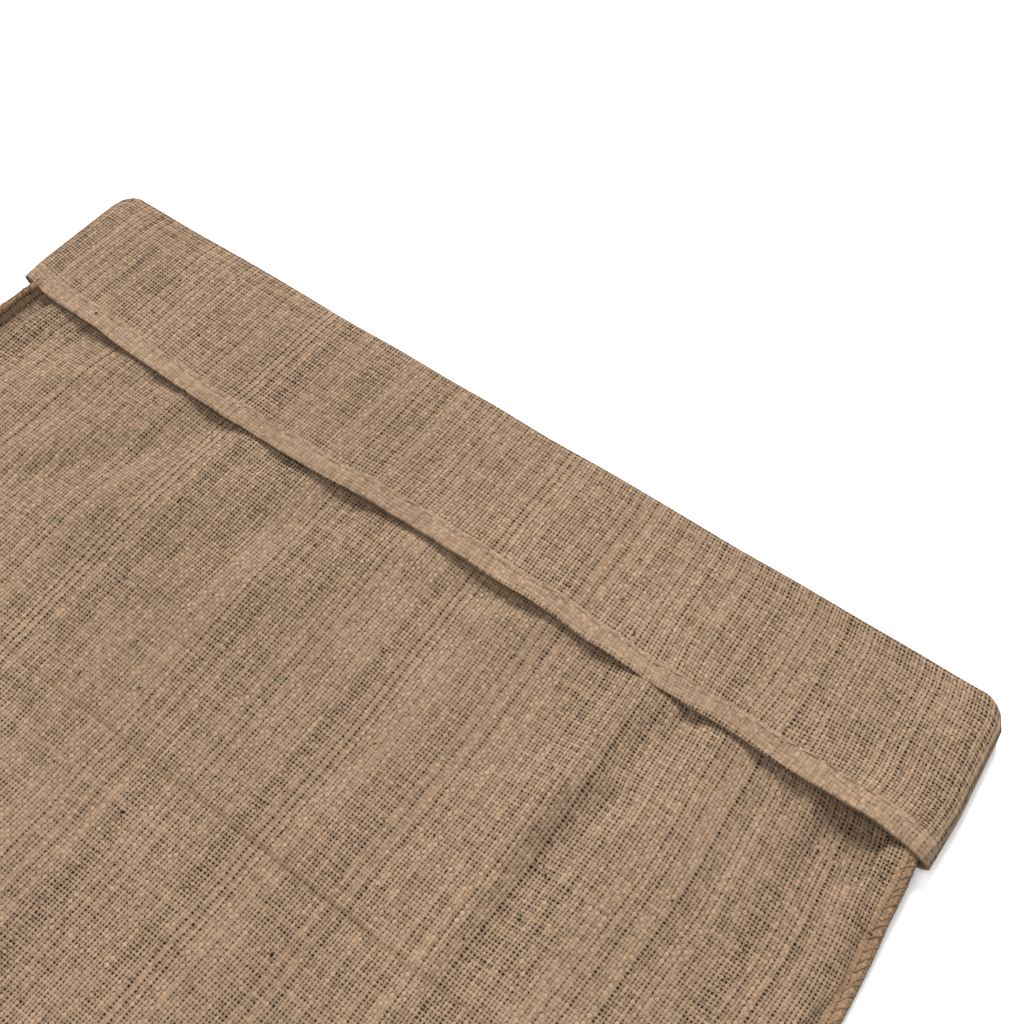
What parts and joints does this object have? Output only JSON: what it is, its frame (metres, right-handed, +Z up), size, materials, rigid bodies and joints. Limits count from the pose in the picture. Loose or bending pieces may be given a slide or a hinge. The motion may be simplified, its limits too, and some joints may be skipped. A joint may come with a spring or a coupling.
{
  "type": "sack race bag",
  "caption": "Flat-lying jute sack for sack races, its open mouth turned down outside all round as a hemmed cuff, with overcast side seams.",
  "frame": {"origin": "middle of the underside of the sack as it lies flat", "axes": "+Y along the sack towards its open mouth, +Z up out of the front panel, +X across the sack to the right-hand seam"},
  "size_m": [0.6128, 0.925, 0.0165],
  "materials": {
    "jute_cloth": "matte",
    "seam_twine": "matte",
    "hem_thread": "matte"
  },
  "bodies": {
    "sack": {"front_panel": "jute_cloth", "front_panel_bottom": "jute_cloth", "front_panel_shoulder": "jute_cloth", "front_panel_mouth": "jute_cloth", "back_panel": "jute_cloth", "back_panel_shoulder": "jute_cloth", "back_panel_mouth": "jute_cloth", "front_right_seam_allowance": "jute_cloth", "front_right_seam_allowance_shoulder": "jute_cloth", "front_right_seam_allowance_mouth": "jute_cloth", "front_left_seam_allowance": "jute_cloth", "front_left_seam_allowance_shoulder": "jute_cloth", "front_left_seam_allowance_mouth": "jute_cloth", "back_right_seam_allowance": "jute_cloth", "back_right_seam_allowance_shoulder": "jute_cloth", "back_right_seam_allowance_mouth": "jute_cloth", "back_left_seam_allowance": "jute_cloth", "back_left_seam_allowance_shoulder": "jute_cloth", "back_left_seam_allowance_mouth": "jute_cloth", "front_right_seam_allowance_bottom": "jute_cloth", "front_left_seam_allowance_bottom": "jute_cloth", "bottom_fold": "jute_cloth", "front_mouth_fold": "jute_cloth", "back_mouth_fold": "jute_cloth", "right_seam_twine": "seam_twine", "left_seam_twine": "seam_twine"},
    "front_cuff_half": {"front_cuff": "jute_cloth", "front_cuff_right_side": "jute_cloth", "front_cuff_left_side": "jute_cloth", "front_hem": "jute_cloth", "front_hem_thread": "hem_thread"},
    "back_cuff_half": {"back_cuff": "jute_cloth", "back_cuff_right_side": "jute_cloth", "back_cuff_left_side": "jute_cloth", "back_hem": "jute_cloth", "back_hem_thread": "hem_thread"}
  },
  "joints": [
    {"name": "front_cuff_turn", "type": "hinge", "parent": "sack", "child": "front_cuff_half", "pos_m": [0, 0.4606, 0.0129], "axis": [-1, 0, 0], "range_deg": [0, 180], "deforming": ["front_mouth_fold"]},
    {"name": "back_cuff_turn", "type": "hinge", "parent": "sack", "child": "back_cuff_half", "pos_m": [0, 0.4606, 0.0031], "axis": [1, 0, 0], "range_deg": [0, 180], "deforming": ["back_mouth_fold"]}
  ],
  "couplings": [
    {"joint": "back_cuff_turn", "follows": "front_cuff_turn", "ratio": 1}
  ]
}
